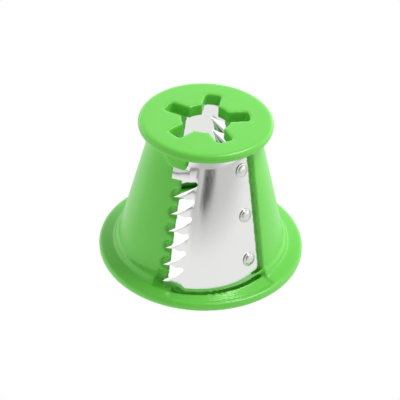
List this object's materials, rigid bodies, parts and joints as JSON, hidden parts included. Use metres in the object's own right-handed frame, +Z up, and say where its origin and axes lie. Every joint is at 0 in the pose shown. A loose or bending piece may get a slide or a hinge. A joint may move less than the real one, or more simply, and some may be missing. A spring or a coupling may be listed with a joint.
{
  "type": "grater drum",
  "caption": "Conical cutting drum of a rotary grater: moulded cone with a base flange, a drive socket in its top disc and riveted stick-cutting blades.",
  "frame": {"origin": "middle of the base flange's underside, on the drum's turning axis", "axes": "+Z up the turning axis to the top disc; -Y through the front cutting slot; +X to the right of it"},
  "size_m": [0.105, 0.105, 0.0785],
  "materials": {
    "body_plastic": "moulded bright green plastic, satin gloss",
    "blade_steel": "rolled stainless sheet, satin",
    "rivet_steel": "stainless rivet, polished by its setting tool"
  },
  "bodies": {
    "root": {"cone_body": "body_plastic", "front_blade": "blade_steel", "rear_blade": "blade_steel", "front_blade_rivet_upper": "rivet_steel", "front_blade_rivet_middle": "rivet_steel", "front_blade_rivet_lower": "rivet_steel", "rear_blade_rivet_upper": "rivet_steel", "rear_blade_rivet_middle": "rivet_steel", "rear_blade_rivet_lower": "rivet_steel"}
  },
  "joints": []
}
